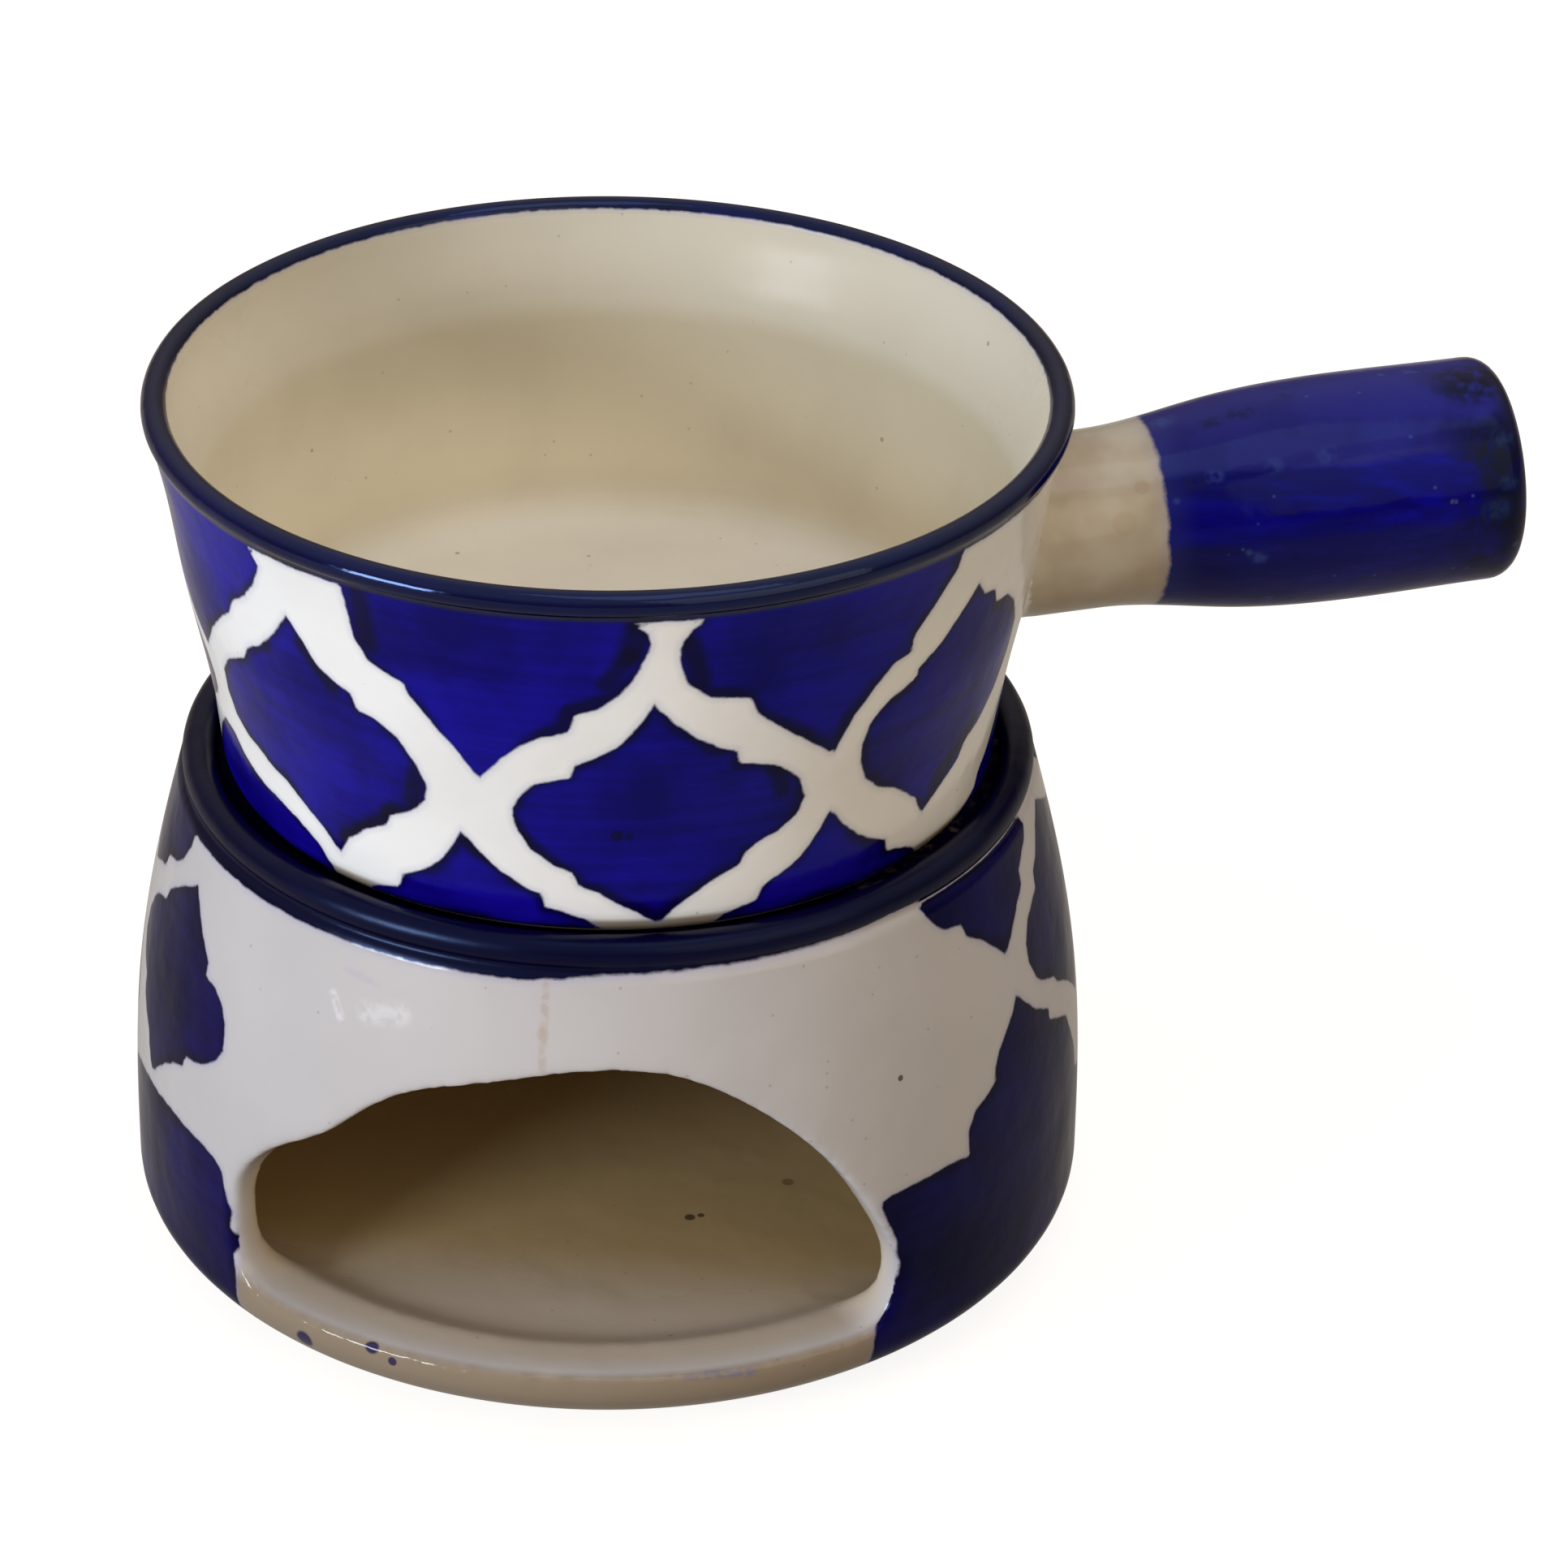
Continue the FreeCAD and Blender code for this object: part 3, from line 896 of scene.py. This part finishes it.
def marked(make, where, colour, marks, smears):
    """The colour with its drips, finger marks, mould seam and a painted reflection, each where it lies."""
    for place, size, shade, strength in marks:
        mark = make.times(make.spot(where, place, size), strength)
        colour = make.mix(mark, colour, shade)
    broken = make.rise(make.noise(where, 900.0, 2.0), 0.3, 0.6)
    for start, end, size, shade, strength in smears:
        mark = make.times(make.streak(where, start, end, size), broken)
        colour = make.mix(make.times(mark, strength), colour, shade)
    return colour


def set_shine(make, coat, band, gloss, band_gloss):
    """The white shines, the inside hardly, and the cobalt keeps a deep colour under its gloss."""
    facing = make.add("LayerWeight", {"Blend": 0.5}).outputs["Facing"]
    blue = make.between(band, gloss, band_gloss)
    faded = make.times(blue, 0.3)
    edge = {"Value": facing, "From Min": 0.3, "From Max": 0.78, "To Min": blue, "To Max": faded}
    blue = make.add("MapRange", edge).outputs[0]
    white = make.between(make.attribute("inside"), 0.36, 0.05)
    make.feed(make.main["Specular IOR Level"], make.between(coat, white, blue))
    make.feed(make.main["Specular Tint"], make.mix(coat, (1, 1, 1, 1), (0.34, 0.5, 1, 1)))


def set_surface(make, where, washes, band, band_rough):
    """Thick glaze: glossy, softer inside, with slow dips and a fine skin."""
    rough = make.plus(make.times(washes, 0.14), 0.06)
    rough = make.plus(rough, make.times(make.attribute("inside"), 0.2))
    make.feed(make.main["Roughness"], make.between(band, rough, band_rough))
    fine = make.times(make.noise(where, 420.0, 2.0), 0.10)
    dips = make.plus(make.noise(where, 60.0, 2.0), fine)
    bump = make.add("Bump", {"Strength": 0.35, "Distance": 0.0012, "Height": dips})
    make.feed(make.main["Normal"], bump.outputs[0])


def glazed(name, outside_tint, inside_tint, brushed, gloss, band_gloss, band_rough, marks, smears, strokes):
    """White glaze over cobalt brushwork, read from a piece's own painted depth."""
    make = Recipe(bpy.data.materials.new(name))
    where = make.add("TexCoord", {}).outputs["Object"]
    on_handle = make.attribute("on_handle")
    band = make.rise(make.attribute("band"), -0.2, 0.5)

    # Brush streaks run round the pots and along the handle
    round_streaks = make.noise(make.stretched(where, (22, 22, 540)), 1.0, 4.0, 0.62)
    long_streaks = make.noise(make.stretched(where, (14, 330, 330), -handle_turn), 1.0, 4.0, 0.62)
    streaks = make.mix(on_handle, round_streaks, long_streaks)
    washes = make.noise(where, 70.0, 3.0)

    # The paint ends in a ragged edge and bleeds a little into the white
    ragged = make.swing(make.noise(where, 520.0, 4.0, 0.6), 0.55)
    depth = make.plus(make.attribute("paint"), ragged)
    coat = make.rise(depth, -0.22, 0.2)
    bleed = make.times(make.rise(depth, -1.1, 0.1), 0.22)
    white = make.mix(bleed, white_glaze(make, where, outside_tint, inside_tint), paint_bleed)

    cobalt = brushwork(make, where, depth, streaks, washes, brushed, strokes)
    cobalt = make.mix(make.times(band, 0.92), cobalt, band_cobalt)
    cobalt = make.mix(on_handle, cobalt, painted_grip(make, where, streaks, long_streaks, washes))
    colour = marked(make, where, make.mix(coat, white, cobalt), marks, smears)
    make.feed(make.main["Base Color"], colour)
    set_shine(make, coat, band, gloss, band_gloss)
    set_surface(make, where, washes, band, band_rough)
    return make.owner


def on_bowl(turn, height):
    """A spot on the bowl's outside, in millimetres."""
    radius = width_at(bowl_outside, height)
    return (radius * math.cos(math.radians(turn)), radius * math.sin(math.radians(turn)), height)


def along_grip(place, reach):
    """A spot further out along the handle, in millimetres."""
    return tuple(Vector(place) + handle_place.to_3x3() @ Vector((0, 0, reach)))


# Each mark: place in millimetres, size, colour and strength
ink = tint(24, 16, 70)
soot = tint(44, 32, 22)
brush_dot = tint(6, 4, 26)
stand_marks = [
    ((-30.5, -50.6, 7.8), 1.25, ink, 0.95), ((-21.7, -55.1, 10.6), 1.05, ink, 0.95),
    ((-19.0, -56.1, 9.4), 0.6, ink, 0.9), ((39.4, -40.7, 44.0), 0.4, tint(60, 60, 56), 0.9),
    ((-1.0, -54.1, 55.4), 0.8, tint(176, 148, 128), 0.25),
    ((12.9, -57.6, 11.4), 0.6, tint(110, 84, 66), 0.5),
    ((12.7, -21.2, 9.0), 0.7, soot, 0.8), ((14.0, -20.6, 9.0), 0.45, soot, 0.8),
    ((24.0, -12.0, 9.0), 0.8, tint(70, 58, 30), 0.5), ((-2.0, -50.5, 10.8), 0.4, tint(96, 72, 54), 0.6),
]
bowl_marks = [
    ((6.8, -47.9, 78.7), 0.8, brush_dot, 0.7), ((8.2, -47.8, 78.5), 0.5, brush_dot, 0.6),
    ((60.3, 12.5, 84.5), 2.4, tint(176, 150, 118), 0.35),
    ((63.1, 12.5, 96.4), 1.0, tint(176, 150, 124), 0.4),
    ((61.4, 9.8, 92.6), 1.6, tint(176, 152, 126), 0.3),
]

# Each smear: both ends in millimetres, size, colour and strength
stand_smears = [
    ((16.1, -57.0, 10.9), (23.6, -54.3, 10.2), 0.8, tint(100, 102, 140), 0.55),
    ((-0.8, -52.6, 61.5), (-1.0, -54.9, 51.0), 0.6, tint(172, 154, 142), 0.5),
    ((-25.0, -47.5, 58.4), (-20.5, -49.0, 57.6), 0.6, tint(176, 174, 190), 0.6),
    # These two pale patches on the front-left panel are a painted reflection of the window
    ((-22.0, -49.6, 54.0), (-18.0, -51.2, 55.0), 1.6, tint(226, 225, 232), 0.4),
    ((-26.5, -47.6, 55.0), (-25.5, -48.6, 52.6), 0.7, tint(228, 227, 234), 0.5),
]
foot_smear = ((-17.5, -45.3, 71.8), (-13.6, -46.6, 70.9), 0.3, tint(110, 118, 190), 0.5)

# Short marks along the grip: colour, strength and length, then each one's place and size
grip_marks = [
    (tint(24, 23, 80), 0.8, 1.4, (
        ((73.6, 21.9, 102.1), 1.3), ((70.2, 20.4, 101.5), 1.1), ((69.0, 13.4, 97.0), 1.1),
        ((79.2, 25.4, 102.8), 0.9), ((88.8, 18.3, 98.4), 0.5))),
    (tint(60, 78, 160), 0.5, 0.7, (
        ((71.4, 14.0, 97.5), 0.9), ((78.4, 15.9, 98.3), 1.1), ((84.6, 18.0, 99.0), 1.3),
        ((94.4, 32.1, 104.0), 1.0), ((77.3, 12.0, 88.0), 0.9), ((78.7, 15.6, 80.9), 0.8),
        ((64.7, 21.6, 100.9), 1.4), ((76.6, 22.4, 102.0), 0.6))),
    (tint(16, 15, 28), 0.85, 1.5, (
        ((101.6, 30.1, 104.4), 4.2), ((104.6, 21.9, 98.5), 3.4), ((106.4, 20.1, 91.9), 3.6))),
    (tint(30, 52, 104), 0.5, 1.0, (
        ((106.0, 23.8, 100.3), 1.4), ((105.6, 19.9, 92.2), 1.5), ((107.0, 21.0, 95.4), 1.0))),
    (tint(120, 118, 160), 0.5, 0.3, (
        ((95.0, 17.0, 91.6), 0.35), ((100.6, 18.8, 93.6), 0.4), ((99.4, 18.4, 92.4), 0.3))),
]
bowl_smears = [foot_smear] + [
    (place, along_grip(place, reach), size, shade, strength)
    for shade, strength, reach, places in grip_marks
    for place, size in places]

# Dark strokes in the bowl's cobalt: both ends as degrees and height, and size
bowl_strokes = [
    (on_bowl(*start), on_bowl(*end), size) for start, end, size in (
        ((-114.1, 108.6), (-113.9, 102.0), 1.8), ((-79.1, 109.0), (-80.3, 104.7), 2.1),
        ((-80.3, 104.7), (-83.4, 100.4), 1.4), ((-108.4, 86.4), (-110.4, 80.4), 1.6),
        ((-122.8, 71.6), (-113.6, 77.6), 1.5), ((-102.4, 76.4), (-96.0, 72.0), 1.5),
        ((-94.6, 77.6), (-89.6, 73.6), 1.3), ((-73.2, 105.6), (-71.6, 100.4), 1.5),
        ((-59.4, 83.0), (-61.6, 88.6), 1.5), ((-21.6, 79.8), (-30.0, 74.8), 1.6),
        ((-125.0, 98.0), (-120.6, 94.0), 1.4), ((-67.0, 95.0), (-57.0, 89.4), 1.4))]

# The stand's white is set darker than the bowl's as painted shade, and its brown inside is painted shade
# that deepens into the chamber
stand.data.materials.clear()
stand.data.materials.append(glazed(
    "stand_glaze_and_cobalt", outside_tint=tint(192, 188, 193), inside_tint=tint(232, 202, 150),
    brushed=(tint(5, 1, 44), tint(15, 8, 78)), gloss=0.12, band_gloss=0.26, band_rough=0.3,
    marks=stand_marks, smears=stand_smears, strokes=[]))
bowl.data.materials.clear()
bowl.data.materials.append(glazed(
    "bowl_glaze_and_cobalt", outside_tint=tint(242, 241, 245), inside_tint=tint(232, 223, 202),
    brushed=(tint(8, 0, 94), tint(20, 8, 148)), gloss=0.2, band_gloss=0.6, band_rough=0.1,
    marks=bowl_marks, smears=bowl_smears, strokes=bowl_strokes))


# Stage: a pale floor that looks white from the camera and keeps the pots' shadow

floor_mesh = bmesh.new()
bmesh.ops.create_grid(floor_mesh, x_segments=2, y_segments=2, size=4.0)
floor = placed(floor_mesh, "studio_floor")
paper_white = 0.87
paper_in_gloss = 0.22
paper = Recipe(bpy.data.materials.new("studio_paper"))
rays = paper.add("LightPath", {}).outputs
mirrored = paper.times(rays["Is Glossy Ray"], paper_in_gloss)
seen = paper.maths("MAXIMUM", rays["Is Camera Ray"], rays["Is Transmission Ray"])
seen = paper.maths("MAXIMUM", seen, mirrored)
paper.feed(paper.main["Base Color"], (0.34, 0.30, 0.25, 1))
paper.feed(paper.main["Roughness"], 0.9)
paper.feed(paper.main["Specular IOR Level"], 0.0)
paper.feed(paper.main["Emission Color"], (1, 1, 1, 1))
paper.feed(paper.main["Emission Strength"], paper.times(seen, paper_white))
floor.data.materials.append(paper.owner)

# A room with a pale ceiling and dimmer walls
room_wall = (0.22, 0.19, 0.14, 1)
room_ceiling = (0.66, 0.62, 0.56, 1)
world = bpy.data.worlds.new("studio")
bpy.context.scene.world = world
room = Recipe(world, "Background")
toward = room.add("TexCoord", {}).outputs["Generated"]
upward = room.add("SeparateXYZ", {0: toward}).outputs["Z"]
room.feed(room.main["Color"], room.mix(room.rise(upward, 0.1, 0.8), room_wall, room_ceiling))
room.feed(room.main["Strength"], 1.0)


def soft_lamp(name, place, aim, size, power, colour):
    """A rectangular lamp at a place, turned towards its aim. Its power is in watts."""
    data = bpy.data.lights.new(name, "AREA")
    data.shape = "RECTANGLE"
    data.size, data.size_y = size
    data.energy = power
    data.color = colour
    lamp = bpy.data.objects.new(name, data)
    lamp.location = place
    lamp.rotation_euler = (Vector(aim) - Vector(place)).to_track_quat("-Z", "Y").to_euler()
    bpy.context.scene.collection.objects.link(lamp)


soft_lamp(
    "window_left", place=(-0.75, -0.76, 0.29), aim=(0, 0, 0.06), size=(0.42, 0.3), power=8.8,
    colour=(0.86, 0.94, 1.0))
soft_lamp(
    "fill_right", place=(0.68, -0.66, 0.6), aim=(0, 0, 0.05), size=(0.9, 0.9), power=2.5,
    colour=(1.0, 0.80, 0.47))
soft_lamp(
    "ceiling_lamp", place=(0.16, -0.19, 1.23), aim=(0, 0, 0.06), size=(0.6, 0.6), power=1.2,
    colour=(0.86, 0.92, 1.0))

# The camera looks down on the front through a long lens. Its focal length is in pixels of the
# picture, its spot in metres, and its angles in degrees.
film_width = 36
picture_width = 1932
focal_length = 6800
camera_spot = (0, -0.58842, 0.394485)
camera_angles = (29.76, 2.093, 1.052)
object_turn = 7
camera_data = bpy.data.cameras.new("camera")
camera_data.sensor_width = film_width
camera_data.lens = film_width * focal_length / picture_width
camera = bpy.data.objects.new("camera", camera_data)
bpy.context.scene.collection.objects.link(camera)
bpy.context.scene.camera = camera
pitch, yaw, roll = (math.radians(a) for a in camera_angles)
ahead = Vector((math.sin(yaw) * math.cos(pitch), math.cos(yaw) * math.cos(pitch), -math.sin(pitch)))
side = ahead.cross(Vector((0, 0, 1))).normalized()
over = side.cross(ahead)
right = side * math.cos(roll) + over * math.sin(roll)
top = over * math.cos(roll) - side * math.sin(roll)
facing = Matrix((right, top, -ahead)).transposed().to_4x4()
round_object = Matrix.Rotation(math.radians(object_turn), 4, "Z")
camera.matrix_world = round_object @ Matrix.Translation(camera_spot) @ facing

bpy.context.scene.view_settings.view_transform = "Standard"
